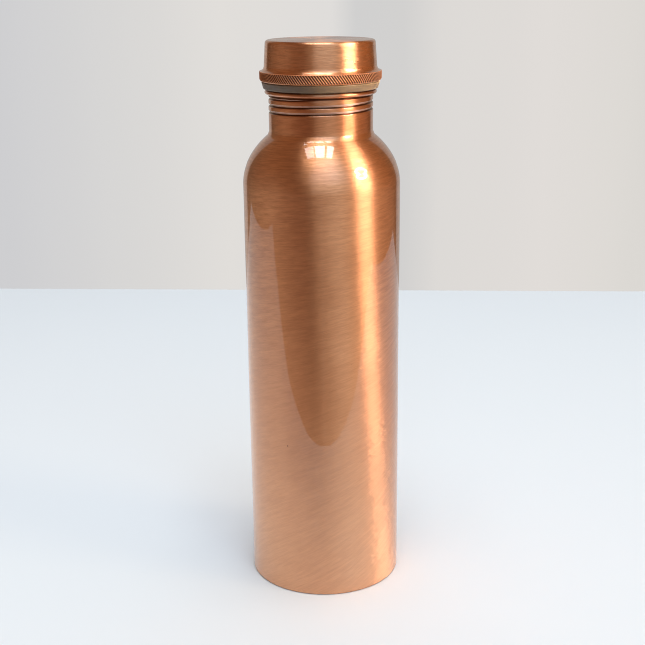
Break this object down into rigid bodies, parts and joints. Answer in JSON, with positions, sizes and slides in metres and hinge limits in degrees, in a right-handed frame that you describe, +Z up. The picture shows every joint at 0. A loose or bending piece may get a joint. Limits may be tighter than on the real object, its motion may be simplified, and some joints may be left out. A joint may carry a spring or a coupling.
{
  "type": "copper water bottle",
  "caption": "Tall lacquered copper water bottle with a domed shoulder, a rolled neck thread and a knurled screw-in cap sealed by a silicone ring.",
  "frame": {"origin": "centre of the foot, on the plane that the bottle stands on", "axes": "+Z up along the bottle's axis towards the cap; -Y is the front, where a turn of the neck thread is 237.7 mm above the foot"},
  "size_m": [0.076, 0.076, 0.2702],
  "materials": {
    "body_copper": "satin",
    "base_copper": "satin",
    "cap_copper": "satin",
    "plug_copper": "satin",
    "silicone": "matte"
  },
  "bodies": {
    "bottle": {"bottle_body": "body_copper", "base_disc": "base_copper"},
    "gasket": {"gasket_ring": "silicone"},
    "cap": {"cap_shell": "cap_copper", "cap_plug": "plug_copper"}
  },
  "joints": [
    {"name": "cap_lift", "type": "slide", "parent": "bottle", "child": "gasket", "axis": [0, 0, 1], "range_m": [0, 0.0144]},
    {"name": "cap_unscrew", "type": "hinge", "parent": "gasket", "child": "cap", "pos_m": [0, 0, 0.251], "axis": [0, 0, 1], "range_deg": [0, 1620]}
  ],
  "couplings": [
    {"joint": "cap_lift", "follows": "cap_unscrew", "m_per_rad": 0.00050929}
  ]
}
